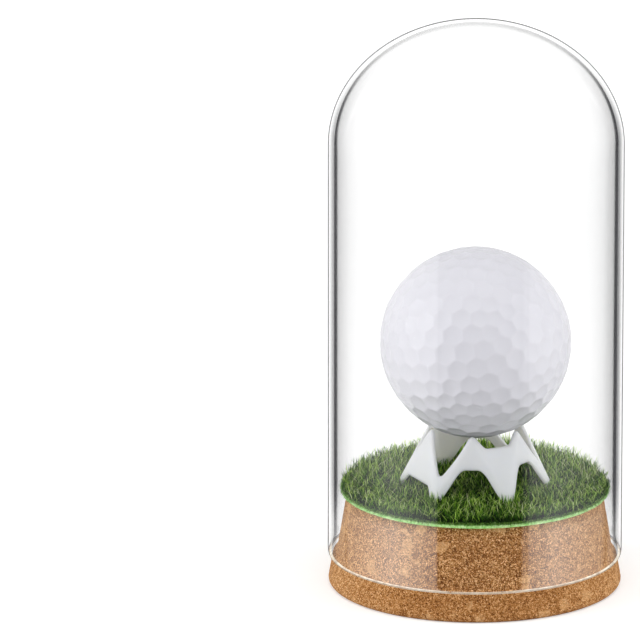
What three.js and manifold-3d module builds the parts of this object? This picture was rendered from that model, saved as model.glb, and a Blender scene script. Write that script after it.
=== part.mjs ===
// Display case for one golf ball: a glass dome pressed on a tapered cork stopper, with a round of
// artificial turf and a pleated plastic stand inside. Millimetres, +Z up, the viewer stands at -Y.
// The origin is the centre of the cork's underside.
import * as THREE from 'three';
import { mergeGeometries, mergeVertices } from 'three/addons/utils/BufferGeometryUtils.js';
import Module from 'manifold-3d';

const wasm = await Module();
wasm.setup();

// Glass dome
const glassRadius = 32.9;
const glassWall = 1.9;
const domeHeight = 122;
const crownRise = 27.6;

// Cork stopper
const corkHeight = 21.1;
const corkTaper = THREE.MathUtils.degToRad(8.6);
const corkShown = 6.7;
const corkSetback = 0.15;
const corkEdge = 0.5;
const mouthClearance = 0.25;

// Turf round
const turfClearance = 1;
const backingHeight = 0.7;
const backingEdge = 0.2;
const pileBedHeight = 0.4;
const bladeHeight = 2.7;
const bladeLean = 0.5;
const bladeWidth = 0.8;
const bladeRoot = 0.15;
const turfBorder = 0.9;
const bladeCount = 400;

// Pleated ball stand
const standHeight = 14.4;
const footRingRadius = 17.6;
const peakRingRadius = 11.3;
const standWall = 0.9;
const archHeight = 7.2;
const lowArchHeight = 3;
const notchHeight = 5.6;
const scallopDepth = 2.7;
const pleatRounding = 0.35;
const bladeClearance = 0.4;
const footTurn = THREE.MathUtils.degToRad(26);

// Golf ball
const ballRadius = 21.335;
const ballClearance = 0.25;

// Facets
const roundSegments = 48;
const crownSteps = 11;
const edgeSteps = 3;
const columnsPerPleat = 8;
const standRows = 6;
const ballSegments = 40;
const ballRings = 24;

// How each piece is shared out
const seatStartShare = 0.62;
const pleats = 6;
const scallopEvery = 3;
const lowArchPeak = 1;
const bladeSides = 3;
const bendHeightShare = 0.55;
const bendWidthShare = 0.8;
const bendLeanShare = 0.35;
const shortestBladeShare = 0.72;
const footShare = 0.06;
const archShoulderShare = 0.8;
const lowArchShoulderShare = 0.42;
const archStartShare = 0.16;
const archCrownShare = 0.5;
const notchFloorShare = 0.12;
const scallopFlatShare = 0.4;
const scallopFloorShare = 0.35;
const peakTipShare = 0.22;

// Places worked out from the sizes
const glassInnerRadius = glassRadius - glassWall;
const rimRadius = glassWall / 2;
const rimLevel = corkShown + rimRadius;
const rimCentreRadius = glassInnerRadius + rimRadius;
const corkSlope = Math.tan(corkTaper);
const corkBottomRadius = glassRadius - corkSetback;
const ledgeLevel = corkShown - mouthClearance;
const ledgeRadius = corkBottomRadius - ledgeLevel * corkSlope;
const corkTopRadius = glassInnerRadius - mouthClearance - (corkHeight - rimLevel) * corkSlope;
const turfRadius = glassInnerRadius - turfClearance;
const pileBedLevel = corkHeight + backingHeight;
const turfLevel = pileBedLevel + pileBedHeight;
const pleatAngle = (2 * Math.PI) / pleats;
const peakInnerRadius = peakRingRadius - standWall;
const ballLevel =
  turfLevel + standHeight + ballClearance + Math.sqrt(ballRadius ** 2 - peakInnerRadius ** 2);
const shoulderLevel = corkShown + domeHeight - crownRise;

// Points along an elliptical arc of a turned profile, from one angle to another
function arc(centreRadius, centreLevel, radius, rise, from, to, steps) {
  const points = [];
  for (let step = 0; step <= steps; step += 1) {
    const angle = from + ((to - from) * step) / steps;
    points.push(
      new THREE.Vector2(centreRadius + radius * Math.cos(angle), centreLevel + rise * Math.sin(angle)),
    );
  }
  return points;
}

// A turned piece, from a profile that runs out from the axis, up the outside and back to the axis
function turned(profile) {
  return new THREE.LatheGeometry(profile, roundSegments).rotateX(Math.PI / 2);
}

function mesh(name, geometry, look) {
  const piece = new THREE.Mesh(geometry, new THREE.MeshStandardMaterial(look));
  piece.name = name;
  return piece;
}

// manifold-3d reads a mesh with merged points and hands one back
function toSolid(geometry) {
  const bare = geometry.clone();
  bare.deleteAttribute('normal');
  bare.deleteAttribute('uv');
  const merged = mergeVertices(bare);
  return new wasm.Manifold(
    new wasm.Mesh({
      numProp: 3,
      vertProperties: new Float32Array(merged.attributes.position.array),
      triVerts: new Uint32Array(merged.index.array),
    }),
  );
}

function toGeometry(solid) {
  const { vertProperties, triVerts } = solid.getMesh();
  const geometry = new THREE.BufferGeometry();
  geometry.setAttribute('position', new THREE.BufferAttribute(vertProperties, 3));
  geometry.setIndex(new THREE.BufferAttribute(triVerts, 1));
  geometry.computeVertexNormals();
  return geometry;
}

// Triangles from a list of points and a list of their numbers
function fromPoints(points, indices) {
  const geometry = new THREE.BufferGeometry();
  geometry.setAttribute(
    'position',
    new THREE.Float32BufferAttribute(points.flatMap((point) => point.toArray()), 3),
  );
  geometry.setIndex(indices);
  geometry.computeVertexNormals();
  return geometry;
}

// A disc with rounded rims, standing on the given level
function disc(radius, level, height, edge) {
  return turned([
    new THREE.Vector2(0, level),
    ...arc(radius - edge, level + edge, edge, edge, -Math.PI / 2, 0, edgeSteps),
    ...arc(radius - edge, level + height - edge, edge, edge, 0, Math.PI / 2, edgeSteps),
    new THREE.Vector2(0, level + height),
  ]);
}

// Straight tube with an elliptical crown. The rim is melted round.
function glassDome() {
  const innerCrown = arc(
    0, shoulderLevel, glassInnerRadius, crownRise - glassWall, Math.PI / 2, 0, crownSteps,
  );
  const rim = arc(
    rimCentreRadius, rimLevel, rimRadius, rimRadius, -Math.PI, 0, 2 * edgeSteps,
  );
  const outerCrown = arc(0, shoulderLevel, glassRadius, crownRise, 0, Math.PI / 2, crownSteps);
  innerCrown[0].x = 0;
  outerCrown[crownSteps].x = 0;
  return mesh('glass_dome', turned([...innerCrown, ...rim, ...outerCrown]), {
    color: 0xf4f6f6, roughness: 0.03, metalness: 0, transparent: true, opacity: 0.25,
  });
}

// A tapered stopper. The dome's rim has pressed a hollow seat around it, which follows the rim.
function corkBase() {
  const seatBend = rimRadius + mouthClearance;
  const profile = [
    new THREE.Vector2(0, 0),
    ...arc(corkBottomRadius - corkEdge, corkEdge, corkEdge, corkEdge, -Math.PI / 2, 0, edgeSteps),
    new THREE.Vector2(ledgeRadius, ledgeLevel),
    ...arc(
      rimCentreRadius, rimLevel, seatBend, seatBend, -Math.PI * seatStartShare, -Math.PI, edgeSteps,
    ),
    ...arc(
      corkTopRadius - corkEdge, corkHeight - corkEdge, corkEdge, corkEdge, 0, Math.PI / 2, edgeSteps,
    ),
    new THREE.Vector2(0, corkHeight),
  ];
  return mesh('cork_base', turned(profile), { color: 0xc08a52, roughness: 0.85, metalness: 0 });
}

function turfBacking() {
  return mesh('turf_backing', disc(turfRadius, corkHeight, backingHeight, backingEdge), {
    color: 0x8fd06a, roughness: 0.6, metalness: 0,
  });
}

// Level of a height that climbs from 0 to 1 over a share of a pleat, eased over both its ends
function climb(share, startShare, endShare) {
  const whole = 1 - startShare / 2 - endShare / 2;
  if (share < startShare) {
    return share ** 2 / (2 * startShare) / whole;
  }
  if (share > 1 - endShare) {
    return 1 - (1 - share) ** 2 / (2 * endShare) / whole;
  }
  return (share - startShare / 2) / whole;
}

// Where a turn lies in the pleats: 0 over a foot, 1 at a peak, and which foot is the nearest
function pleatPlace(turn) {
  const place = (turn - footTurn) / pleatAngle;
  const foot = Math.round(place);
  return { share: 2 * Math.abs(place - foot), foot: ((foot % pleats) + pleats) % pleats };
}

// How far a share has come from one share to another, from 0 to 1
function between(share, from, to) {
  return THREE.MathUtils.clamp((share - from) / (to - from), 0, 1);
}

// The wall stands on its feet. It is arched high between them, but low under two opposite peaks.
function standBottom(turn) {
  const peak = Math.floor((turn - footTurn) / pleatAngle);
  const repeat = ((peak % scallopEvery) + scallopEvery) % scallopEvery;
  const low = repeat === lowArchPeak;
  const shoulder = low ? lowArchShoulderShare : archShoulderShare;
  const share = between(pleatPlace(turn).share, footShare, shoulder);
  return (low ? lowArchHeight : archHeight) * climb(share, archStartShare, archCrownShare);
}

// Two opposite panels are cut in a shallow flat scallop for the ball, the other four in a deep notch.
function standTop(turn) {
  const { share, foot } = pleatPlace(turn);
  if (foot % scallopEvery === 0) {
    const rise = climb(between(share, scallopFlatShare, 1), scallopFloorShare, peakTipShare);
    return standHeight - scallopDepth * (1 - rise);
  }
  const rise = climb(share, notchFloorShare, peakTipShare);
  return notchHeight + (standHeight - notchHeight) * rise;
}

// Outer radius of the pleats. Panels between two feet lean in to a peak, panels between two peaks
// lean out to a foot, and the nearer of the two planes holds, with the fold between them rounded.
function standRadius(turn, height) {
  const rise = height / standHeight;
  const off = (pleatPlace(turn).share * pleatAngle) / 2;
  const half = pleatAngle / 2;
  const foot = footRingRadius * (1 - rise);
  const peak = peakRingRadius * rise;
  const footPanel = (foot + peak * Math.cos(half)) / Math.cos(off);
  const peakPanel = (foot * Math.cos(half) + peak) / Math.cos(half - off);
  const gap = Math.hypot(footPanel - peakPanel, pleatRounding);
  return (footPanel + peakPanel - gap) / 2;
}

function atTurn(turn, radius, level) {
  return new THREE.Vector3(radius * Math.sin(turn), -radius * Math.cos(turn), level);
}

// One folded wall, closed from a loop of points at each turn: up the outside, down the inside
function ballStand() {
  const columns = 2 * pleats * columnsPerPleat;
  const loop = 2 * (standRows + 1);
  const points = [];
  const indices = [];
  for (let column = 0; column < columns; column += 1) {
    const turn = footTurn + (column * 2 * Math.PI) / columns;
    const low = standBottom(turn);
    const high = standTop(turn);
    for (let place = 0; place < loop; place += 1) {
      const outside = place <= standRows;
      const row = outside ? place : loop - 1 - place;
      const height = low + ((high - low) * row) / standRows;
      const radius = standRadius(turn, height) - (outside ? 0 : standWall);
      points.push(atTurn(turn, radius, turfLevel + height));
      const next = (column + 1) % columns;
      const after = (place + 1) % loop;
      const here = column * loop + place;
      const beyond = next * loop + after;
      indices.push(here, next * loop + place, beyond, here, beyond, column * loop + after);
    }
  }
  return mesh('ball_stand', fromPoints(points, indices), {
    color: 0xf2f2f2, roughness: 0.45, metalness: 0,
  });
}

function golfBall() {
  const ball = new THREE.SphereGeometry(ballRadius, ballSegments, ballRings).rotateX(Math.PI / 2);
  ball.translate(0, 0, ballLevel);
  return mesh('golf_ball', ball, { color: 0xf4f4f7, roughness: 0.3, metalness: 0 });
}

// Steady scatter between 0 and 1 from a number and a seed
function scatter(number, seed) {
  const value = Math.sin(number * 12.9898 + seed * 78.233) * 43758.5453;
  return value - Math.floor(value);
}

// A blade stands clear of the stand's wall wherever that wall comes down into the pile.
function clearOfStand(turn, radius) {
  if (standBottom(turn) > bladeHeight + bladeClearance) {
    return true;
  }
  const reach = bladeClearance + bladeWidth / 2 + bladeLean;
  const outer = standRadius(turn, 0) + reach;
  const inner = standRadius(turn, bladeHeight) - standWall - reach;
  return radius > outer || radius < inner;
}

// One tapered blade that bends over to one side
function blade(number, turn, radius) {
  const height = bladeHeight * (shortestBladeShare + (1 - shortestBladeShare) * scatter(number, 1));
  const leanTurn = 2 * Math.PI * scatter(number, 2);
  const lean = bladeLean * scatter(number, 3);
  const root = atTurn(turn, radius, turfLevel - bladeRoot);
  const rings = [
    { level: 0, width: bladeWidth, shift: 0 },
    {
      level: bladeRoot + height * bendHeightShare,
      width: bladeWidth * bendWidthShare,
      shift: lean * bendLeanShare,
    },
  ];
  const points = rings.flatMap((ring) => {
    const centre = root.clone().add(atTurn(leanTurn, ring.shift, ring.level));
    return Array.from({ length: bladeSides }, (_, side) =>
      centre.clone().add(atTurn(leanTurn + (side * 2 * Math.PI) / bladeSides, ring.width / 2, 0)),
    );
  });
  points.push(root.clone().add(atTurn(leanTurn, lean, bladeRoot + height)));
  const indices = [0, 2, 1];
  for (let side = 0; side < bladeSides; side += 1) {
    const next = (side + 1) % bladeSides;
    indices.push(side, next, bladeSides + next, side, bladeSides + next, bladeSides + side);
    indices.push(bladeSides + side, bladeSides + next, 2 * bladeSides);
  }
  return fromPoints(points, indices);
}

// The pile's bed with its blades, laid out along a sunflower spiral
function turfPile() {
  const spiralTurn = Math.PI * (3 - Math.sqrt(5));
  const reach = turfRadius - turfBorder - bladeLean;
  const blades = [];
  for (let number = 0; number < bladeCount; number += 1) {
    const radius = reach * Math.sqrt((number + 0.5) / bladeCount);
    const turn = number * spiralTurn;
    if (clearOfStand(turn, radius)) {
      blades.push(blade(number, turn, radius));
    }
  }
  const bed = turned([
    new THREE.Vector2(0, pileBedLevel),
    new THREE.Vector2(turfRadius - backingEdge, pileBedLevel),
    new THREE.Vector2(turfRadius - backingEdge, turfLevel),
    new THREE.Vector2(0, turfLevel),
  ]);
  const pile = toSolid(bed).add(toSolid(mergeGeometries(blades)));
  return mesh('turf_pile', toGeometry(pile), { color: 0x3f7a2a, roughness: 0.8, metalness: 0 });
}

const displayCase = new THREE.Group();
displayCase.add(corkBase(), turfBacking(), turfPile(), ballStand(), golfBall(), glassDome());

export default displayCase;
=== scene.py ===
"""Looks of a golf ball display case: a glass dome on a tapered cork stopper, with a round of artificial
turf inside, a pleated white stand and the ball on it. Sizes are in millimetres until a mesh is made,
and turns are in radians."""
import itertools
import math

import bmesh
import bpy
import numpy as np
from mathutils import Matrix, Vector, noise


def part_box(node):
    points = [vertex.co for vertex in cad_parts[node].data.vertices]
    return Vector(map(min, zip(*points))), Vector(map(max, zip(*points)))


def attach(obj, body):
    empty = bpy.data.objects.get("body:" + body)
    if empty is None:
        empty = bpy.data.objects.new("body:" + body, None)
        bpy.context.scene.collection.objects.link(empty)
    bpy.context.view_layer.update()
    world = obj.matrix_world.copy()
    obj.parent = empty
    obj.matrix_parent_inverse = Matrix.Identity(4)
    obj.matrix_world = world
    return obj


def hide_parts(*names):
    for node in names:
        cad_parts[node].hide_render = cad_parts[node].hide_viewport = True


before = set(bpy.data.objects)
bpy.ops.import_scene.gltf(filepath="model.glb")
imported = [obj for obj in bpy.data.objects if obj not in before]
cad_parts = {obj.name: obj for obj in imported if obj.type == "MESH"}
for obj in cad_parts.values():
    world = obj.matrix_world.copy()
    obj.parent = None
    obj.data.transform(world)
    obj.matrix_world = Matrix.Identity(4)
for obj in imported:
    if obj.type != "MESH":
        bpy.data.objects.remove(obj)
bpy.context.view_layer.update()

MILLIMETRE = 0.001

# Glass dome
glass_radius = 32.9
glass_wall = 1.9
dome_height = 122.0
crown_rise = 27.6
seen_wall = 1.4
crown_wall = 0.8
rim_wall = 0.85
rim_rise = 1.5
flare_height = 4.0
dome_segments = 240
crown_steps = 72
wall_steps = 16
flare_steps = 8
rim_steps = 9
rim_corner_steps = 16
rim_shade_first = 4
rim_shade_last = 9

# Cork stopper
cork_height = 21.1
cork_taper = math.radians(8.6)
cork_shown = 6.7
cork_setback = 0.15
cork_edge = 1.1
mouth_clearance = 0.25
seat_start_share = 0.62
cork_pit_depth = 0.09
cork_pits_per_mm = 1.1
cork_pit_bias = 0.15
cork_chip_depth = 0.3
cork_chips_per_mm = 0.33
cork_chip_threshold = 0.42
cork_chip_shift = (9, 4, 2)
cork_segments = 420
cork_bend_steps = 5
cork_seat_steps = 9
cork_ledge_steps = 14
cork_side_steps = 30

# Turf round
turf_clearance = 1.0
backing_height = 0.7
backing_edge = 0.2
backing_wander = 0.22
backing_wander_per_mm = 0.5
backing_ripple_per_mm = 1.3
backing_ripple_share = 0.3
backing_inset_share = 0.8
backing_cut_share = 0.9
backing_segments = 360
backing_bend_steps = 3
pile_bed_height = 0.4
pile_bed_setback = 1.1
pile_bed_edge = 0.15
pile_bed_segments = 240
pile_edge_radius = 30.85
wall_gap = 0.12
root_depth = 0.1

# Blades of grass
blade_sides = 3
blade_ring_shares = (0.0, 0.38, 0.74)
blade_taper_shares = (1.0, 0.85, 0.55)
blade_check_shares = (0.0, 0.3, 0.6, 0.85, 1.0)
blade_check_rise = 0.01
blade_width_share = 0.7
blade_width_span_share = 0.6
blade_reach = 2.8
grass_setback = 0.25
grass_back_share = 1.1
grass_height_weights = (2.0, 2.2)
grass_lean_power = 0.7
grass_curl = 1.7
grass_sag_share = 0.05
grass_sag_span_share = 0.5
tuft_turn_span = 0.34
tuft_gap = 0.22
tuft_band = 0.9
tuft_height = 0.9
tuft_height_span = 2.6
tuft_lean = 0.7
tuft_lean_turn_span = 3.6
tuft_curl = 0.6
tuft_sag_share = 0.2
fringe_setback = 0.3
fringe_band = 0.9
fringe_height = 1.2
fringe_height_span = 1.4
fringe_lean = 0.4
fringe_lean_span = 1.3
fringe_lean_turn_span = 2.4
fringe_curl = 0.8
fringe_sag_span = 1.0

# Pleated ball stand
stand_height = 14.4
foot_ring_radius = 17.6
peak_ring_radius = 11.3
stand_wall = 0.9
arch_height = 7.2
low_arch_height = 3.0
notch_height = 5.6
scallop_depth = 2.7
pleat_rounding = 0.2
foot_turn = math.radians(26)
pleats = 6
scallop_every = 3
low_arch_peak = 1
foot_share = 0.06
arch_shoulder_share = 0.8
low_arch_shoulder_share = 0.42
arch_start_share = 0.16
arch_crown_share = 0.5
notch_floor_share = 0.12
scallop_flat_share = 0.4
scallop_floor_share = 0.35
peak_tip_share = 0.2
columns_per_pleat = 36
stand_rows = 28
lip_steps = 6

# Golf ball
dimple_frequency = 6
dimple_depth = 0.32
dimple_share = 0.5
dimple_neighbours = 6
dimple_bowl_power = 0.9
dimple_turn = 0.37
dimple_tilt = 0.52
ball_levels = 7
points_at_once = 4096

# Places worked out from the sizes
glass_inner_radius = glass_radius - glass_wall
rim_radius = glass_wall / 2
rim_level = cork_shown + rim_radius
rim_centre_radius = glass_inner_radius + rim_radius
shoulder_level = cork_shown + dome_height - crown_rise
cork_slope = math.tan(cork_taper)
cork_bottom_radius = glass_radius - cork_setback
ledge_level = cork_shown - mouth_clearance
ledge_radius = cork_bottom_radius - ledge_level * cork_slope
cork_top_radius = glass_inner_radius - mouth_clearance - (cork_height - rim_level) * cork_slope
turf_radius = glass_inner_radius - turf_clearance
pile_bed_level = cork_height + backing_height
turf_level = pile_bed_level + pile_bed_height
pleat_angle = 2 * math.pi / pleats

# Stops of a ramp that is the same from end to end
nowhere = [(0.0, 0.0), (1.0, 0.0)]
everywhere = [(0.0, 1.0), (1.0, 1.0)]


# Meshes


def make_piece(name, points, faces, finishes, body, replaced):
    """A piece from points in millimetres. It rides on its body and stands for the named nodes."""
    shape = bpy.data.meshes.new(name)
    shape.from_pydata((np.asarray(points, float) * MILLIMETRE).tolist(), [], faces)
    shape.validate()
    shape.polygons.foreach_set("use_smooth", [True] * len(shape.polygons))
    for finish in finishes:
        shape.materials.append(finish)
    piece = bpy.data.objects.new(name, shape)
    bpy.context.scene.collection.objects.link(piece)
    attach(piece, body)
    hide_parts(*replaced)
    return piece


def arc(centre_radius, centre_level, radius, rise, start, end, steps):
    """Points of a turned profile along an elliptical arc, as pairs of radius and level."""
    angles = np.linspace(start, end, steps + 1)
    return [(centre_radius + radius * math.cos(a), centre_level + rise * math.sin(a)) for a in angles]


def line(start, end, steps):
    """Points of a turned profile along a straight line, without its two ends."""
    shares = np.linspace(0, 1, steps + 1)[1:-1]
    return [(start[0] + (end[0] - start[0]) * s, start[1] + (end[1] - start[1]) * s) for s in shares]


def turned(profile, segments):
    """Points and faces of a turned solid. The profile starts and ends on the axis."""
    turns = np.arange(segments) * 2 * math.pi / segments
    rings = [
        np.stack([radius * np.sin(turns), -radius * np.cos(turns), np.full(segments, level)], 1)
        for radius, level in profile[1:-1]
    ]
    poles = [(0, 0, profile[0][1]), (0, 0, profile[-1][1])]
    points = np.concatenate([np.array(poles, float), *rings])
    here = np.arange(segments)
    after = (here + 1) % segments
    faces = []
    for ring in range(len(rings) - 1):
        low = 2 + ring * segments
        high = low + segments
        faces += np.stack([low + here, low + after, high + after, high + here], 1).tolist()
    top = 2 + (len(rings) - 1) * segments
    faces += [[0, 2 + a, 2 + h] for h, a in zip(here.tolist(), after.tolist())]
    faces += [[1, top + h, top + a] for h, a in zip(here.tolist(), after.tolist())]
    return points, faces


def at_turn(turn, radius, level):
    """A point at a turn from the front towards the right."""
    return np.stack(np.broadcast_arrays(radius * np.sin(turn), -radius * np.cos(turn), level), -1)


# Nodes


class Value:
    """An output of a finish's nodes. Arithmetic on it adds Math nodes."""

    def __init__(self, finish, output):
        self.finish = finish
        self.output = output

    def maths(self, operation, first, second):
        return self.finish.node("ShaderNodeMath", {"operation": operation}, {0: first, 1: second})

    def __add__(self, other):
        return self.maths("ADD", self, other)

    def __sub__(self, other):
        return self.maths("SUBTRACT", self, other)

    def __rsub__(self, other):
        return self.maths("SUBTRACT", other, self)

    def __mul__(self, other):
        return self.maths("MULTIPLY", self, other)

    def __gt__(self, other):
        return self.maths("GREATER_THAN", self, other)

    def __lt__(self, other):
        return self.maths("LESS_THAN", self, other)

    __radd__ = __add__

    def either(self, other):
        """The greater of two values."""
        return self.maths("MAXIMUM", self, other)


class Finish:
    """A finish made of nodes, on a new material or on the node tree it is given."""

    def __init__(self, name, tree=None):
        if tree is None:
            self.material = bpy.data.materials.new(name)
            self.material.use_nodes = True
            tree = self.material.node_tree
        self.tree = tree
        self.tree.nodes.clear()

    def node(self, kind, settings, inputs, output=0):
        """A node of any kind. Its settings are set first, then the values or links of its inputs."""
        made = self.tree.nodes.new(kind)
        for name, setting in settings.items():
            if name == "stops":
                self.set_stops(made.color_ramp, setting)
            else:
                setattr(made, name, setting)
        for name, value in inputs.items():
            if isinstance(value, Value):
                self.tree.links.new(value.output, made.inputs[name])
            else:
                made.inputs[name].default_value = value
        return Value(self, made.outputs[output]) if len(made.outputs) else None

    def set_stops(self, ramp, stops):
        """Stops of a ramp, each a place and a colour or a grey."""
        while len(ramp.elements) < len(stops):
            ramp.elements.new(1.0)
        for element, (place, tone) in zip(ramp.elements, stops):
            element.position = place
            element.color = (*tone, 1.0) if isinstance(tone, tuple) else (tone, tone, tone, 1.0)

    def ramp(self, value, stops):
        return self.node("ShaderNodeValToRGB", {"stops": stops}, {"Fac": value})

    def place(self):
        """Where a point lies in the object's own frame, in millimetres."""
        coordinates = self.node("ShaderNodeTexCoord", {}, {}, "Object")
        return self.scaled(coordinates, 1 / MILLIMETRE)

    def scaled(self, vector, scale):
        return self.node("ShaderNodeVectorMath", {"operation": "SCALE"}, {0: vector, "Scale": scale})

    def moved(self, vector, shift):
        return self.node("ShaderNodeVectorMath", {"operation": "ADD"}, {0: vector, 1: shift})

    def stretched(self, vector, scale, turn=(0, 0, 0)):
        return self.node("ShaderNodeMapping", {}, {"Vector": vector, "Scale": scale, "Rotation": turn})

    def part(self, vector, axis):
        return self.node("ShaderNodeSeparateXYZ", {}, {"Vector": vector}, axis)

    def ray(self, kind):
        """1 for rays of one kind, and 0 for all others."""
        return self.node("ShaderNodeLightPath", {}, {}, kind)

    def cloud(self, vector, size, detail=3.0, roughness=0.5, output="Fac"):
        """Noise whose patches are about this size, in millimetres."""
        inputs = {"Vector": vector, "Scale": 1 / size, "Detail": detail, "Roughness": roughness}
        return self.node("ShaderNodeTexNoise", {}, inputs, output)

    def cells(self, vector, size, output, feature="F1"):
        """Cells of about this size, in millimetres."""
        inputs = {"Vector": vector, "Scale": 1 / size}
        return self.node("ShaderNodeTexVoronoi", {"feature": feature}, inputs, output)

    def blend(self, share, first, second):
        """A mix of two colours. A Mix node's colours are its inputs 6 and 7, and its output 2."""
        inputs = {0: share, 6: self.solid(first), 7: self.solid(second)}
        return self.node("ShaderNodeMix", {"data_type": "RGBA"}, inputs, 2)

    def solid(self, tone):
        """A colour as a socket takes it."""
        return tone if isinstance(tone, Value) else (*tone, 1.0)

    def bump(self, height, strength, depth):
        """A normal from a height. The depth is in millimetres."""
        inputs = {"Height": height, "Strength": strength, "Distance": depth * MILLIMETRE}
        return self.node("ShaderNodeBump", {}, inputs)

    def mixed(self, share, first, second):
        return self.node("ShaderNodeMixShader", {}, {0: share, 1: first, 2: second})

    def surface(self, shader):
        self.node("ShaderNodeOutputMaterial", {}, {"Surface": shader})
        return self.material

    def principled(self, inputs):
        return self.surface(self.node("ShaderNodeBsdfPrincipled", {}, inputs))


# Finishes


def cork_finish():
    """Pressed cork: fine granules, dark specks between them, and scattered pale flakes with streaks. It is
    painted lighter towards its left and right as painted light, and a little darker behind the glass as
    painted shade.
    """
    cork = Finish("pressed_cork")
    place = cork.place()
    wander = cork.cloud(place, 0.8, 2.0, output="Color")
    bent = cork.moved(place, cork.scaled(wander, 0.7))
    granule = cork.part(cork.cells(bent, 0.65, "Color"), "X")
    small = cork.part(cork.cells(bent, 0.32, "Color"), "Y")
    grain = cork.cloud(place, 0.19, 3.0, 0.8)
    patch = cork.cloud(place, 8.0, 2.0)
    across = cork.part(place, "X")
    # Painted light: the cork is painted lighter towards its left and right, where the side lamps light it
    # more.
    aside = cork.ramp(across * across * (1 / cork_bottom_radius**2), [(0.08, 0.0), (0.8, 1.0)])
    # Painted shade: above the rim, behind the glass, the cork is painted a little darker, and its speckle
    # there is stronger.
    shown = cork.ramp(cork.part(place, "Z") * (1 / cork_height), [(0.30, 0.0), (0.36, 1.0)])
    speckle = granule * 0.05 + small * 0.17 + grain * 1.3 - 0.76
    tone = speckle * (1 + shown * 0.35) + patch * 0.07 + aside * 0.06 - shown * 0.014 + 0.44
    colour = cork.ramp(
        tone,
        [
            (0.31, (0.070, 0.021, 0.005)),
            (0.40, (0.205, 0.073, 0.017)),
            (0.50, (0.385, 0.160, 0.044)),
            (0.60, (0.590, 0.286, 0.098)),
            (0.70, (0.880, 0.600, 0.320)),
        ],
    )
    flake_bent = cork.moved(place, cork.scaled(cork.cloud(place, 2.0, 3.0, output="Color"), 1.5))
    flake_cell = cork.part(cork.cells(flake_bent, 2.7, "Color"), "Y")
    flake_edge = cork.cells(flake_bent, 2.7, "Distance", "DISTANCE_TO_EDGE")
    flake = (flake_cell > 0.92) * cork.ramp(flake_edge, [(0.03, 0.0), (0.09, 1.0)])
    streaks = cork.cloud(cork.stretched(flake_bent, (1.0, 1.0, 3.6), (0.5, 0.4, 0.0)), 0.6, 3.0, 0.7)
    flake_tone = cork.ramp(
        streaks, [(0.36, (0.30, 0.12, 0.035)), (0.48, (0.64, 0.33, 0.125)), (0.62, (0.88, 0.60, 0.32))]
    )
    colour = cork.blend(flake * 0.55, colour, flake_tone)
    speck_bent = cork.moved(place, cork.scaled(wander, 0.4))
    speck = cork.cells(speck_bent, 0.6, "Distance")
    speck_pick = cork.part(cork.cells(speck_bent, 0.6, "Color"), "Z")
    specks = (speck_pick > 0.72) * cork.ramp(speck, [(0.12, 1.0), (0.32, 0.0)])
    colour = cork.blend(specks * 0.38, colour, (0.085, 0.030, 0.008))
    height = grain * 0.7 + small * 0.25 - specks * 0.6 + flake * 0.1
    return cork.principled(
        {
            "Base Color": colour,
            "Roughness": 0.72 + grain * 0.2,
            "Specular IOR Level": 0.15,
            "Normal": cork.bump(height, 0.5, 0.14),
        }
    )


def backing_finish():
    """Bright green foam sheet, mottled paler and darker."""
    backing = Finish("turf_backing_green")
    place = backing.place()
    grain = backing.cloud(place, 0.5, 4.0, 0.6)
    patch = backing.cloud(place, 3.0, 2.0)
    colour = backing.ramp(
        grain * 0.7 + patch * 0.4,
        [(0.35, (0.14, 0.42, 0.06)), (0.52, (0.34, 0.68, 0.20)), (0.70, (0.66, 0.88, 0.46))],
    )
    return backing.principled(
        {
            "Base Color": colour,
            "Roughness": 0.6 + grain * 0.2,
            "Specular IOR Level": 0.2,
            "Normal": backing.bump(grain, 0.4, 0.15),
        }
    )


def blade_finish(name, shaded_root_tone, middle_tone, tip_tone):
    """Artificial grass: each blade has its own tone and grows paler to its tip. Blades are painted darker
    the lower they lie in the pile, as painted shade, and lighter towards the left and right, as painted
    side light.
    """
    grass = Finish(name)
    place = grass.place()
    level = grass.part(place, "Z")
    # Painted shade: blades are painted darker the lower they lie in the pile.
    climb_share = (level - turf_level) * (1 / blade_reach)
    own = grass.node("ShaderNodeNewGeometry", {}, {}, "Random Per Island")
    patch = grass.cloud(place, 4.0, 2.0)
    across = grass.part(place, "X")
    # Painted light: blades towards the left and right are painted lighter, as the side lamps would light
    # them.
    aside = grass.ramp(across * across * (1 / turf_radius**2), [(0.05, 0.0), (0.3, 0.6), (0.9, 1.0)])
    share = climb_share * 0.8 + own * 0.75 + patch * 0.3 + aside * 0.22 - 0.52
    colour = grass.ramp(share, [(0.05, shaded_root_tone), (0.5, middle_tone), (0.95, tip_tone)])
    return grass.principled(
        {
            "Base Color": colour,
            "Roughness": 0.5 + own * 0.25,
            "Specular IOR Level": 0.12,
        }
    )


def bed_finish():
    """The matted roots of the grass, coloured very dark: partly their own tone, partly painted shade deep
    in the pile.
    """
    bed = Finish("turf_roots")
    place = bed.place()
    mat = bed.cloud(place, 0.5, 4.0, 0.7)
    # Painted shade: the roots are coloured near black, for the shade between the blades.
    colour = bed.ramp(mat, [(0.3, (0.006, 0.020, 0.002)), (0.7, (0.045, 0.120, 0.012))])
    return bed.principled(
        {
            "Base Color": colour,
            "Roughness": 0.9,
            "Specular IOR Level": 0.1,
            "Normal": bed.bump(mat, 0.6, 0.3),
        }
    )


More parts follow.
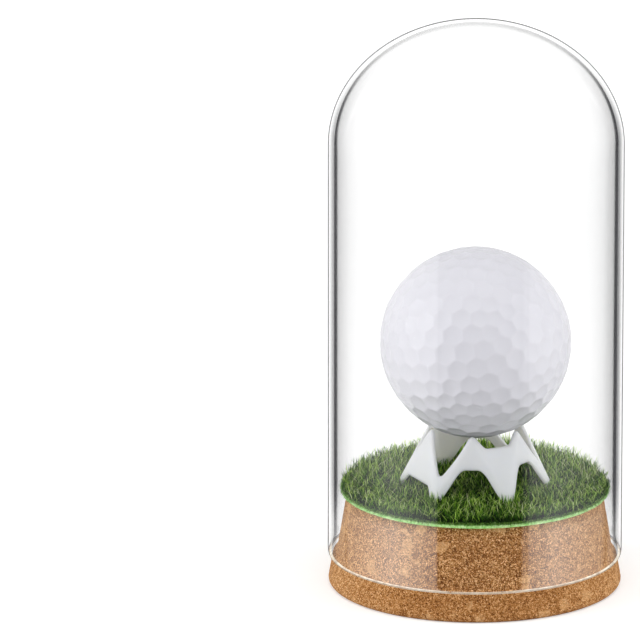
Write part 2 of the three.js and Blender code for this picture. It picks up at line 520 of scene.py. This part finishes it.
def stand_finish():
    """White moulded plastic, satin, with faint flow marks."""
    plastic = Finish("white_moulded_plastic")
    place = plastic.place()
    flow = plastic.cloud(plastic.stretched(place, (1.0, 1.0, 0.35)), 2.2, 3.0)
    fine = plastic.cloud(place, 0.35, 3.0, 0.6)
    colour = plastic.blend(flow, (0.92, 0.92, 0.925), (0.95, 0.95, 0.955))
    return plastic.principled(
        {
            "Base Color": colour,
            "Roughness": 0.36 + flow * 0.14 + fine * 0.05,
            "Specular IOR Level": 0.4,
            "Subsurface Weight": 0.8,
            "Subsurface Radius": (1.0, 0.94, 0.80),
            "Subsurface Scale": 5.0 * MILLIMETRE,
            "Normal": plastic.bump(fine, 0.12, 0.05),
        }
    )


def ball_finish():
    """Glossy white cover with a faint lavender cast and light handling marks."""
    cover = Finish("white_ball_cover")
    place = cover.place()
    patch = cover.cloud(place, 9.0, 2.0)
    scuff = cover.cloud(cover.stretched(place, (1.0, 3.0, 1.0), (0.4, 0.2, 0.7)), 1.6, 5.0, 0.7)
    rubbed = cover.ramp(scuff, [(0.6, 0.0), (0.78, 1.0)])
    colour = cover.blend(patch, (0.634, 0.630, 0.683), (0.668, 0.664, 0.710))
    colour = cover.blend(rubbed * 0.12, colour, (0.62, 0.62, 0.68))
    return cover.principled(
        {
            "Base Color": colour,
            "Roughness": 0.17 + scuff * 0.12 + rubbed * 0.1,
            "Specular IOR Level": 0.5,
            "Normal": cover.bump(scuff, 0.06, 0.03),
        }
    )


def glass_finish(name, edge_stops, band_stops, height_stops, mirror, painted_edge_tone, edge_noise_size, edge_noise_share):
    """Clear glass that light passes straight through. Its dark edges and the dark band of its wall are
    painted, standing in for the refraction of a thick wall, and the band fades with the height. Noise makes
    both uneven, and the band is painted darker towards the right as painted shade. The mirror is the share
    of the room that the outside shows, most beside the cork and less at the sides."""
    glass = Finish(name)
    facing = glass.node("ShaderNodeLayerWeight", {}, {"Blend": 0.5}, "Facing")
    level = glass.part(glass.place(), "Z")
    height_share = (level - cork_shown) * (1 / dome_height)
    edge_noise = glass.cloud(glass.stretched(glass.place(), (1.0, 1.0, 0.2)), edge_noise_size, 3.0)
    across = glass.part(glass.place(), "X")
    # Painted shade: the band is painted up to a quarter darker towards the right.
    painted_right_shade = glass.ramp(across * (0.5 / glass_radius) + 0.5, [(0.35, 0.0), (0.85, 1.0)]) * 0.25 + 1.0
    band = glass.ramp(facing, band_stops) * glass.ramp(height_share, height_stops) * painted_right_shade
    edge = glass.ramp(facing, edge_stops).either(band) * (1 + (edge_noise - 0.5) * edge_noise_share)
    clear = glass.node("ShaderNodeBsdfTransparent", {}, {})
    body = clear
    if mirror:
        inside = glass.node("ShaderNodeNewGeometry", {}, {}, "Backfacing")
        by_cork = glass.ramp(height_share, [(0.11, 1.0), (0.135, 0.50), (0.17, 0.28), (0.20, 0.42)])
        sideways = glass.ramp(facing, [(0.51, 1.0), (0.56, 0.3)])
        shine = glass.node("ShaderNodeBsdfGlossy", {}, {"Roughness": 0.02})
        lit = glass.node("ShaderNodeAddShader", {}, {0: clear, 1: shine})
        body = glass.mixed(by_cork * sideways * (1 - inside) * mirror, clear, lit)
    # Painted shade: a dark matt shader mixed in at the edges and in the band stands in for refraction.
    dark = glass.node("ShaderNodeBsdfDiffuse", {}, {"Color": (*painted_edge_tone, 1.0)})
    body = glass.mixed(edge, body, dark)
    unseen = glass.ray("Is Shadow Ray").either(glass.ray("Is Diffuse Ray"))
    return glass.surface(glass.mixed(unseen, body, clear))


# Pieces


def cork_stopper():
    """Tapered plug with a worn edge, pitted all over. The dome's rim has pressed a hollow seat round it."""
    bend = rim_radius + mouth_clearance
    quarter = math.pi / 2
    low_radius = cork_bottom_radius - cork_edge
    high_radius = cork_top_radius - cork_edge
    high_level = cork_height - cork_edge
    seat_start = -math.pi * seat_start_share
    bottom = arc(low_radius, cork_edge, cork_edge, cork_edge, -quarter, 0, cork_bend_steps)
    ledge = (ledge_radius, ledge_level)
    seat = arc(rim_centre_radius, rim_level, bend, bend, seat_start, -math.pi, cork_seat_steps)
    top = arc(high_radius, high_level, cork_edge, cork_edge, 0, quarter, cork_bend_steps)
    profile = [
        (0, 0),
        *bottom,
        *line(bottom[-1], ledge, cork_ledge_steps),
        ledge,
        *seat,
        *line(seat[-1], top[0], cork_side_steps),
        *top,
        (0, cork_height),
    ]
    points, faces = turned(profile, cork_segments)
    for index, point in enumerate(points[2:], start=2):
        spot = Vector(point)
        pits = noise.fractal(spot * cork_pits_per_mm, 0.9, 2.1, 3)
        chips = noise.noise(spot * cork_chips_per_mm + Vector(cork_chip_shift))
        depth = cork_pit_depth * max(0.0, pits + cork_pit_bias)
        depth += cork_chip_depth * max(0.0, chips - cork_chip_threshold)
        if cork_edge / 4 <= point[2] <= cork_height - cork_edge / 4:
            radius = math.hypot(point[0], point[1])
            points[index, :2] *= (radius - depth) / radius
    make_piece("cork_stopper", points, faces, [cork_finish()], "base", ["cork_base"])


def turf_sheet():
    """The green sheet under the grass, cut a little unevenly by hand."""
    bend_radius = turf_radius - backing_edge
    low_bend = cork_height + backing_edge
    high_bend = pile_bed_level - backing_edge
    inset = turf_radius * backing_inset_share
    profile = [
        (0, cork_height),
        (inset, cork_height),
        *arc(bend_radius, low_bend, backing_edge, backing_edge, -math.pi / 2, 0, backing_bend_steps),
        *arc(bend_radius, high_bend, backing_edge, backing_edge, 0, math.pi / 2, backing_bend_steps),
        (inset, pile_bed_level),
        (0, pile_bed_level),
    ]
    points, faces = turned(profile, backing_segments)
    for index, point in enumerate(points[2:], start=2):
        radius = math.hypot(point[0], point[1])
        if radius > turf_radius * backing_cut_share:
            spot = Vector(point)
            cut = noise.fractal(spot * backing_wander_per_mm, 0.8, 2.2, 3) * backing_wander
            points[index, :2] *= (radius - abs(cut)) / radius
            if point[2] > low_bend:
                ripple = noise.noise(spot * backing_ripple_per_mm)
                points[index, 2] += ripple * backing_wander * backing_ripple_share
    make_piece("turf_sheet", points, faces, [backing_finish()], "base", ["turf_backing"])


def climb(share, start_share, end_share):
    """Level of a height that climbs from 0 to 1 over a share of a pleat, eased over both its ends."""
    whole = 1 - start_share / 2 - end_share / 2
    eased_in = share**2 / (2 * start_share) / whole
    eased_out = 1 - (1 - share) ** 2 / (2 * end_share) / whole
    straight = (share - start_share / 2) / whole
    return np.where(share < start_share, eased_in, np.where(share > 1 - end_share, eased_out, straight))


def pleat_place(turn):
    """Where a turn lies in the pleats: 0 over a foot, 1 at a peak, and which foot is the nearest."""
    spot = (turn - foot_turn) / pleat_angle
    foot = np.round(spot)
    return 2 * np.abs(spot - foot), np.mod(foot, pleats)


def between(share, start, end):
    """How far a share has come from one share to another, from 0 to 1."""
    return np.clip((share - start) / (end - start), 0, 1)


def stand_bottom(turn):
    """The wall stands on its feet. It is arched high between them, but low under two opposite peaks."""
    peak = np.floor((turn - foot_turn) / pleat_angle)
    low = np.mod(peak, scallop_every) == low_arch_peak
    shoulder = np.where(low, low_arch_shoulder_share, arch_shoulder_share)
    share = between(pleat_place(turn)[0], foot_share, shoulder)
    return np.where(low, low_arch_height, arch_height) * climb(share, arch_start_share, arch_crown_share)


def stand_top(turn):
    """Two opposite panels are cut in a shallow scallop for the ball, the other four in a deep notch."""
    share, foot = pleat_place(turn)
    rise = climb(between(share, scallop_flat_share, 1), scallop_floor_share, peak_tip_share)
    scallop = stand_height - scallop_depth * (1 - rise)
    notch = notch_height + (stand_height - notch_height) * climb(share, notch_floor_share, peak_tip_share)
    return np.where(np.mod(foot, scallop_every) == 0, scallop, notch)


def stand_radius(turn, height):
    """Outer radius of the pleats. The nearer of the two panels holds, with the fold rounded."""
    rise = height / stand_height
    off = pleat_place(turn)[0] * pleat_angle / 2
    half = pleat_angle / 2
    foot = foot_ring_radius * (1 - rise)
    peak = peak_ring_radius * rise
    foot_panel = (foot + peak * math.cos(half)) / np.cos(off)
    peak_panel = (foot * math.cos(half) + peak) / np.cos(half - off)
    return (foot_panel + peak_panel - np.hypot(foot_panel - peak_panel, pleat_rounding)) / 2


def ball_stand():
    """One folded wall with rounded lips, closed from a loop of points at each turn."""
    columns = 2 * pleats * columns_per_pleat
    turn = foot_turn + np.arange(columns) * 2 * math.pi / columns
    low = stand_bottom(turn)
    high = stand_top(turn)
    lip = stand_wall / 2
    heights = [low + lip + (high - low - 2 * lip) * row / stand_rows for row in range(stand_rows + 1)]
    angles = [math.pi * step / lip_steps for step in range(1, lip_steps)]
    loop = [at_turn(turn, stand_radius(turn, height), turf_level + height) for height in heights]
    for angle in angles:
        height = high - lip + lip * math.sin(angle)
        radius = stand_radius(turn, height) - lip * (1 - math.cos(angle))
        loop.append(at_turn(turn, radius, turf_level + height))
    for height in reversed(heights):
        loop.append(at_turn(turn, stand_radius(turn, height) - stand_wall, turf_level + height))
    for angle in angles:
        height = low + lip - lip * math.sin(angle)
        radius = stand_radius(turn, height) - lip * (1 + math.cos(angle))
        loop.append(at_turn(turn, radius, turf_level + height))
    points = np.concatenate(loop)
    faces = []
    here = np.arange(columns)
    after = (here + 1) % columns
    for place in range(len(loop)):
        first = place * columns
        second = ((place + 1) % len(loop)) * columns
        faces += np.stack([first + here, first + after, second + after, second + here], 1).tolist()
    make_piece("ball_rest", points, faces, [stand_finish()], "stand", ["ball_stand"])


def dimple_centres():
    """Unit directions spread over the ball: the points of a finely divided icosahedron."""
    long = (1 + math.sqrt(5)) / 2
    corners = []
    for a in (-1, 1):
        for b in (-long, long):
            corners += [(0, a, b), (a, b, 0), (b, 0, a)]
    corners = np.array(corners, float)
    corners /= np.linalg.norm(corners, axis=1)[:, None]
    side = np.sort(np.linalg.norm(corners[0] - corners, axis=1))[1]
    found = []
    for a, b, c in itertools.combinations(corners, 3):
        if max(np.linalg.norm(a - b), np.linalg.norm(b - c), np.linalg.norm(a - c)) < side * 1.01:
            for i in range(dimple_frequency + 1):
                for j in range(dimple_frequency + 1 - i):
                    k = dimple_frequency - i - j
                    found.append(a * i + b * j + c * k)
    found = np.array(found)
    found /= np.linalg.norm(found, axis=1)[:, None]
    _, first = np.unique(np.round(found, 4), axis=0, return_index=True)
    return found[np.sort(first)]


def golf_ball():
    """The ball with its dimples pressed into a fine mesh."""
    low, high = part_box("golf_ball")
    centre = np.array((low + high) / 2) / MILLIMETRE
    radius = (high.z - low.z) / 2 / MILLIMETRE
    ball = bmesh.new()
    bmesh.ops.create_icosphere(ball, subdivisions=ball_levels, radius=1.0)
    directions = np.array([vertex.co[:] for vertex in ball.verts])
    faces = [[vertex.index for vertex in face.verts] for face in ball.faces]
    ball.free()
    directions /= np.linalg.norm(directions, axis=1)[:, None]
    centres = dimple_centres()
    across, up = math.sin(dimple_turn), math.cos(dimple_turn)
    roll = np.array([[up, -across, 0], [across, up, 0], [0, 0, 1]])
    across, up = math.sin(dimple_tilt), math.cos(dimple_tilt)
    pitch = np.array([[1, 0, 0], [0, up, -across], [0, across, up]])
    centres = centres @ roll.T @ pitch.T
    apart = np.arccos(np.clip(centres @ centres.T, -1, 1))
    np.fill_diagonal(apart, math.pi)
    reach = np.sort(apart, axis=1)[:, :dimple_neighbours].mean(1) * dimple_share
    depth = np.zeros(len(directions))
    for start in range(0, len(directions), points_at_once):
        some = slice(start, start + points_at_once)
        away = np.arccos(np.clip(directions[some] @ centres.T, -1, 1)) / reach
        bowl = np.clip(1 - away.min(1) ** 2, 0, None)
        depth[some] = dimple_depth * bowl**dimple_bowl_power
    points = centre + directions * (radius - depth)[:, None]
    make_piece("dimpled_ball", points, faces, [ball_finish()], "ball", ["golf_ball"])


def blade_mesh(roots, heights, leans, lean_turns, curls, widths, sags):
    """Points and faces of many tapered three-sided blades, each a closed strand bent to one side."""
    count = len(roots)
    ahead = np.stack([np.sin(lean_turns), -np.cos(lean_turns), np.zeros(count)], 1)
    aside = np.stack([np.cos(lean_turns), np.sin(lean_turns), np.zeros(count)], 1)

    def spine(share):
        bend = ahead * (leans * share**2)[:, None] + aside * (curls * math.sin(math.pi * share))[:, None]
        rise = heights * share - sags * share**2
        return roots + bend + np.stack([np.zeros(count), np.zeros(count), rise], 1)

    rings = []
    for share, taper in zip(blade_ring_shares, blade_taper_shares):
        for side in range(blade_sides):
            angle = 2 * math.pi * side / blade_sides
            off = (ahead * math.cos(angle) + aside * math.sin(angle)) * (widths * taper / 2)[:, None]
            rings.append(spine(share) + off)
    rings.append(spine(1.0))
    points = np.stack(rings, 1).reshape(-1, 3)
    first = np.arange(count) * len(rings)
    tip = len(rings) - 1
    last = tip - blade_sides
    faces = [list(reversed(range(blade_sides)))]
    for ring in range(0, last, blade_sides):
        for side in range(blade_sides):
            low = ring + side
            beside = ring + (side + 1) % blade_sides
            faces.append([low, beside, beside + blade_sides, low + blade_sides])
    for side in range(blade_sides):
        faces.append([last + side, last + (side + 1) % blade_sides, tip])
    every = []
    for face in faces:
        every += (first[:, None] + np.array(face)[None]).tolist()
    return points, every


def clears_stand(place, height, margin):
    """True for points that stand clear of the stand's wall."""
    turn = np.arctan2(place[:, 0], -place[:, 1])
    radius = np.hypot(place[:, 0], place[:, 1])
    outer = stand_radius(turn, height)
    beside = (radius > outer + margin) | (radius < outer - stand_wall - margin)
    return beside | (height < stand_bottom(turn) - margin)


def grow(name, finish, roots, lean_turn, heights, leans, curls, widths, sags):
    """Blades from their roots, without those that would touch the stand or the glass."""
    ahead = at_turn(lean_turn, leans, 0.0)
    tips = roots + ahead
    keep = np.hypot(tips[:, 0], tips[:, 1]) < pile_edge_radius
    for share in blade_check_shares:
        keep &= clears_stand(roots + ahead * share**2, heights * share + blade_check_rise, wall_gap)
    root_turn = np.arctan2(roots[:, 0], -roots[:, 1])
    tip_turn = np.arctan2(tips[:, 0], -tips[:, 1])
    outside_root = np.hypot(roots[:, 0], roots[:, 1]) > stand_radius(root_turn, 0.0)
    outside_tip = np.hypot(tips[:, 0], tips[:, 1]) > stand_radius(tip_turn, heights)
    keep &= (outside_root == outside_tip) | (stand_bottom(root_turn) > heights)
    points, faces = blade_mesh(
        roots[keep], heights[keep], leans[keep], lean_turn[keep], curls[keep], widths[keep], sags[keep]
    )
    make_piece(name, points, faces, [finish], "base", ["turf_pile"])


def to_either_side(draw, count, span):
    """Random lengths or turns to either side of nothing, over this span."""
    return (draw.random(count) - 0.5) * span


def varied(draw, count, width):
    """Random widths of blades round a usual width."""
    return width * (blade_width_share + blade_width_span_share * draw.random(count))


def grass(name, seed, count, finish, heights, lean, width):
    """One tone of the pile, grown all over the round but clear of the stand and the glass. It is taller
    at the back."""
    draw = np.random.default_rng(seed)
    radius = (turf_radius - grass_setback) * np.sqrt(draw.random(count))
    roots = at_turn(draw.random(count) * 2 * math.pi, radius, turf_level - root_depth)
    tall = heights[0] + (heights[1] - heights[0]) * draw.beta(*grass_height_weights, count)
    tall *= 1 + grass_back_share * np.clip(roots[:, 1] / turf_radius, 0, 1)
    leans = lean * draw.random(count) ** grass_lean_power
    lean_turn = draw.random(count) * 2 * math.pi
    curls = to_either_side(draw, count, grass_curl)
    widths = varied(draw, count, width)
    sags = tall * (grass_sag_share + grass_sag_span_share * draw.random(count)) * leans / lean
    grow(name, finish, roots, lean_turn, tall, leans, curls, widths, sags)


def foot_tufts(name, seed, count, finish, width):
    """Upright blades pressed up round the stand's feet."""
    draw = np.random.default_rng(seed)
    foot = draw.integers(0, pleats, count)
    turn = foot_turn + foot * pleat_angle + to_either_side(draw, count, tuft_turn_span)
    radius = stand_radius(turn, 0.0) + tuft_gap + tuft_band * draw.random(count)
    roots = at_turn(turn, radius, turf_level - root_depth)
    tall = tuft_height + tuft_height_span * draw.random(count) ** 2
    leans = tuft_lean * draw.random(count)
    lean_turn = turn + to_either_side(draw, count, tuft_lean_turn_span)
    curls = to_either_side(draw, count, tuft_curl)
    widths = varied(draw, count, width)
    grow(name, finish, roots, lean_turn, tall, leans, curls, widths, leans * tuft_sag_share)


def fringe(name, seed, count, finish, width):
    """Short blades along the border that lean out and droop over the cut edge."""
    draw = np.random.default_rng(seed)
    turn = draw.random(count) * 2 * math.pi
    radius = turf_radius - fringe_setback - fringe_band * draw.random(count)
    roots = at_turn(turn, radius, pile_bed_level - root_depth)
    tall = fringe_height + fringe_height_span * draw.random(count)
    leans = fringe_lean + fringe_lean_span * draw.random(count)
    lean_turn = turn + to_either_side(draw, count, fringe_lean_turn_span)
    curls = to_either_side(draw, count, fringe_curl)
    widths = varied(draw, count, width)
    sags = tall + to_either_side(draw, count, fringe_sag_span)
    grow(name, finish, roots, lean_turn, tall, leans, curls, widths, sags)


def turf():
    """The pile: matted roots, four tones of blades, tufts at the stand's feet and a frayed border."""
    edge = turf_radius - pile_bed_setback
    profile = [
        (0, pile_bed_level),
        (edge, pile_bed_level),
        (edge, turf_level - root_depth),
        (edge - pile_bed_edge, turf_level),
        (0, turf_level),
    ]
    points, faces = turned(profile, pile_bed_segments)
    make_piece("turf_roots", points, faces, [bed_finish()], "base", ["turf_pile"])
    dark = blade_finish("grass_dark", (0.001, 0.005, 0.001), (0.01, 0.036, 0.003), (0.05, 0.13, 0.012))
    middle = blade_finish("grass_green", (0.003, 0.013, 0.001), (0.046, 0.152, 0.007), (0.175, 0.39, 0.026))
    bright = blade_finish("grass_bright", (0.015, 0.062, 0.002), (0.27, 0.52, 0.04), (0.65, 0.87, 0.2))
    pale = blade_finish("grass_straw", (0.062, 0.136, 0.014), (0.64, 0.83, 0.24), (0.95, 0.99, 0.62))
    grass("turf_dark", 11, 6500, dark, (1.4, 2.3), 1.8, 0.21)
    grass("turf_green", 12, 5500, middle, (1.6, 2.7), 2.4, 0.18)
    grass("turf_bright", 13, 3000, bright, (1.9, 3.1), 2.8, 0.17)
    grass("turf_straw", 14, 1900, pale, (1.9, 3.2), 3.0, 0.14)
    foot_tufts("turf_foot_dark", 19, 380, dark, 0.2)
    foot_tufts("turf_foot_green", 17, 460, middle, 0.18)
    foot_tufts("turf_foot_bright", 18, 380, bright, 0.16)
    cut = blade_finish("grass_cut_edge", (0.045, 0.145, 0.01), (0.26, 0.5, 0.08), (0.6, 0.82, 0.26))
    frayed = blade_finish("grass_frayed", (0.26, 0.48, 0.1), (0.64, 0.82, 0.3), (0.92, 0.97, 0.6))
    fringe("turf_fringe", 15, 3200, cut, 0.16)
    fringe("turf_pale_fringe", 16, 1500, frayed, 0.14)


def dome_profile():
    """The dome's turned profile in four lengths: its inside from the crown down, its melted rim, the bend
    over the rim, and its outside up to the crown. The inside of the wall lies where the glass makes it seem
    to be, a little outside its true place."""
    inner_radius = glass_radius - seen_wall
    inner_rise = crown_rise - crown_wall
    rim_half = rim_wall / 2
    rim_centre = glass_radius - rim_half
    rim_foot = cork_shown + rim_half
    flare_top = rim_foot + flare_height
    inner = [(0, shoulder_level + inner_rise)]
    inner += arc(0, shoulder_level, inner_radius, inner_rise, math.pi / 2, 0, crown_steps)[1:]
    inner += line((inner_radius, shoulder_level), (inner_radius, flare_top), wall_steps)
    for share in np.linspace(0, 1, flare_steps + 1):
        eased = 0.5 - 0.5 * math.cos(math.pi * share)
        inner.append((inner_radius + (seen_wall - rim_wall) * eased, flare_top - flare_height * share))
    rim = arc(rim_centre, rim_foot, rim_half, rim_half, -math.pi, -math.pi / 2, rim_steps)[1:]
    corner = arc(rim_centre, cork_shown + rim_rise, rim_half, rim_rise, -math.pi / 2, 0, rim_corner_steps)
    rim += corner[1:rim_shade_first]
    shade = corner[rim_shade_first:rim_shade_last]
    outer = corner[rim_shade_last:]
    outer += line(corner[-1], (glass_radius, shoulder_level), wall_steps)
    outer += arc(0, shoulder_level, glass_radius, crown_rise, 0, math.pi / 2, crown_steps)[:-1]
    outer.append((0, shoulder_level + crown_rise))
    return inner, rim, shade, outer


def dome_finishes():
    """The finishes of the dome's outside, its inside, its rim and the bend over the rim. The rim carries a
    painted cream highlight and the bend over it a painted dark shadow.
    """
    outside = glass_finish(
        "clear_glass_outside",
        edge_stops=[(0.87, 0.0), (0.92, 0.76), (1.0, 0.82)],
        band_stops=[
            (0.655, 0.0),
            (0.68, 0.22),
            (0.70, 0.50),
            (0.74, 0.46),
            (0.775, 0.30),
            (0.81, 0.16),
            (0.85, 0.05),
            (0.89, 0.0),
        ],
        height_stops=[
            (0.0, 0.5),
            (0.07, 0.6),
            (0.11, 1.0),
            (0.76, 1.0),
            (0.82, 0.7),
            (0.88, 0.3),
            (0.94, 0.15),
            (1.0, 0.1),
        ],
        mirror=0.29,
        painted_edge_tone=(0.10, 0.10, 0.105),
        edge_noise_size=14.0,
        edge_noise_share=0.2,
    )
    inside = glass_finish(
        "clear_glass_inside",
        edge_stops=nowhere,
        band_stops=[
            (0.08, 0.0),
            (0.25, 0.032),
            (0.34, 0.05),
            (0.452, 0.072),
            (0.504, 0.088),
            (0.566, 0.115),
            (0.641, 0.166),
            (0.741, 0.25),
            (0.78, 0.32),
            (0.81, 0.58),
            (0.85, 0.86),
            (0.94, 0.82),
            (1.0, 0.6),
        ],
        height_stops=[
            (0.0, 0.45),
            (0.07, 0.52),
            (0.11, 1.0),
            (0.78, 1.0),
            (0.84, 0.8),
            (0.89, 0.42),
            (0.93, 0.22),
            (1.0, 0.13),
        ],
        mirror=0.0,
        painted_edge_tone=(0.03, 0.03, 0.033),
        edge_noise_size=14.0,
        edge_noise_share=0.2,
    )
    # Painted highlight and shadow: the rim is painted pale cream where light would catch it, and the bend
    # over it dark brown.
    rims = [
        glass_finish(
            name,
            edge_stops=edge_stops,
            band_stops=nowhere,
            height_stops=everywhere,
            mirror=0.15,
            painted_edge_tone=painted_edge_tone,
            edge_noise_size=1.8,
            edge_noise_share=2.2,
        )
        for name, edge_stops, painted_edge_tone in (
            ("clear_glass_rim", [(0.0, 0.5), (0.3, 0.64), (0.6, 0.74), (1.0, 0.74)], (0.95, 0.88, 0.74)),
            ("clear_glass_rim_shade", [(0.0, 0.3), (0.5, 0.42), (1.0, 0.7)], (0.16, 0.11, 0.07)),
        )
    ]
    return [outside, inside, *rims]


def glass_dome():
    """Straight clear tube with an elliptical crown and a melted rim, finished apart in four lengths."""
    inner, rim, shade, outer = dome_profile()
    points, faces = turned([*inner, *rim, *shade, *outer], dome_segments)
    piece = make_piece("clear_dome", points, faces, dome_finishes(), "dome", ["glass_dome"])
    inner_bands = len(inner) - 2
    rim_bands = inner_bands + len(rim)
    shade_bands = rim_bands + len(shade)
    crown_band = shade_bands + len(outer) - 1
    for face in piece.data.polygons:
        band = face.index // dome_segments
        if band < inner_bands or band == crown_band:
            face.material_index = 1
        elif band < rim_bands:
            face.material_index = 2
        elif band < shade_bands:
            face.material_index = 3


cork_stopper()
turf_sheet()
turf()
ball_stand()
golf_ball()
glass_dome()


# Stage, lamps and camera, placed in metres


def pale_floor():
    """Plain pale floor that keeps the object's shadow. Its glow rises with the distance from the case,
    so that it stays as pale far from the lamps."""
    floor_half = 3.0
    paper = Finish("pale_paper")
    seen = paper.ray("Is Camera Ray").either(paper.ray("Is Glossy Ray"))
    seen = seen.either(paper.ray("Is Transmission Ray"))
    matt = paper.node("ShaderNodeBsdfDiffuse", {}, {"Color": (0.8, 0.8, 0.8, 1.0)})
    away = paper.node("ShaderNodeVectorMath", {"operation": "LENGTH"}, {0: paper.place()}, "Value")
    tone = paper.ramp(away * (MILLIMETRE / floor_half), [(0.1, 0.34), (0.4, 0.75)])
    glow = paper.node("ShaderNodeEmission", {}, {"Color": tone})
    lifted = paper.node("ShaderNodeAddShader", {}, {0: matt, 1: glow})
    shape = bpy.data.meshes.new("floor")
    corners = [(-floor_half, -floor_half, 0), (floor_half, -floor_half, 0)]
    corners += [(floor_half, floor_half, 0), (-floor_half, floor_half, 0)]
    shape.from_pydata(corners, [], [[0, 1, 2, 3]])
    shape.materials.append(paper.surface(paper.mixed(seen, matt, lifted)))
    floor = bpy.data.objects.new("floor", shape)
    floor.visible_glossy = False
    bpy.context.scene.collection.objects.link(floor)


def studio_world():
    """White all round for the camera. Reflections see two tall soft boxes beside a dark front, a white
    ceiling and a paler back. All else is lit a plain grey."""
    box_strength = 1.15
    back_strength = 0.85
    plain_strength = 0.50
    side_start_share = 0.155
    side_end_share = 0.855
    world = bpy.data.worlds.new("studio")
    world.use_nodes = True
    bpy.context.scene.world = world
    room = Finish("studio", world.node_tree)
    direction = room.node("ShaderNodeTexCoord", {}, {}, "Generated")
    across = room.part(direction, "X")
    along = room.part(direction, "Y")
    up = room.part(direction, "Z")
    turn = room.node("ShaderNodeMath", {"operation": "ARCTAN2"}, {0: across, 1: 0 - along})
    share = turn * (1 / (2 * math.pi)) + 0.5
    tones = room.ramp(
        share,
        [
            (0.16, 0.28),
            (0.23, 0.52),
            (0.31, 0.86),
            (0.37, 0.62),
            (0.413, 0.40),
            (0.417, 0.01),
            (0.600, 0.01),
            (0.604, 0.22),
            (0.614, 0.24),
            (0.618, 0.48),
            (0.68, 0.80),
            (0.76, 0.52),
            (0.84, 0.28),
        ],
    )
    side = (share > side_start_share) * (share < side_end_share)
    mirrored = tones * box_strength * side + (1 - side) * back_strength
    overhead = room.ramp(up, [(0.72, 0.0), (0.9, 1.0)])
    mirrored = mirrored * (1 - overhead) + overhead
    seen = room.ray("Is Camera Ray").either(room.ray("Is Transmission Ray"))
    glossy = room.ray("Is Glossy Ray")
    strength = seen + (1 - seen) * (glossy * mirrored + (1 - glossy) * plain_strength)
    inputs = {"Color": (1.0, 1.0, 1.0, 1.0), "Strength": strength}
    background = room.node("ShaderNodeBackground", {}, inputs)
    room.node("ShaderNodeOutputWorld", {}, {"Surface": background})


def soft_lamp(name, place, aim, size, watts):
    """A large soft lamp that reflections don't see."""
    lamp = bpy.data.lights.new(name, "AREA")
    lamp.shape = "RECTANGLE"
    lamp.size, lamp.size_y = size
    lamp.energy = watts
    piece = bpy.data.objects.new(name, lamp)
    piece.location = place
    piece.rotation_euler = (Vector(aim) - Vector(place)).to_track_quat("-Z", "Y").to_euler()
    piece.visible_glossy = False
    piece.visible_camera = False
    bpy.context.scene.collection.objects.link(piece)


def product_camera():
    """A long lens in front and a little above. The case stands right of the middle, as in the photo."""
    raised = math.radians(15.8)
    distance = 2.4
    field = 0.1425
    aim = Vector((-0.03465, 0.0, 0.0606))
    back = Vector((0.0, -math.cos(raised), math.sin(raised)))
    data = bpy.data.cameras.new("camera")
    data.sensor_width = 36.0
    data.lens = data.sensor_width * distance / field
    data.clip_start = 0.1
    data.clip_end = 50.0
    camera = bpy.data.objects.new("camera", data)
    camera.location = aim + back * distance
    camera.rotation_euler = (-back).to_track_quat("-Z", "Y").to_euler()
    bpy.context.scene.collection.objects.link(camera)
    bpy.context.scene.camera = camera


pale_floor()
studio_world()
soft_lamp("left_soft_box", (-1.1, -0.2, 0.4), (0, 0, 0.06), (0.8, 1.2), 8.4)
soft_lamp("right_soft_box", (1.1, -0.15, 0.4), (0, 0, 0.06), (0.8, 1.2), 7.3)
soft_lamp("front_soft_box", (0.0, -0.85, 0.95), (0, 0, 0.04), (1.2, 0.5), 2.1)
soft_lamp("low_soft_box", (0.0, -1.25, 0.10), (0, 0, 0.04), (1.4, 0.2), 1.8)
soft_lamp("top_soft_box", (0.0, -0.1, 1.4), (0, 0, 0.06), (1.2, 1.2), 3.6)
product_camera()

bpy.context.scene.view_settings.view_transform = "Standard"
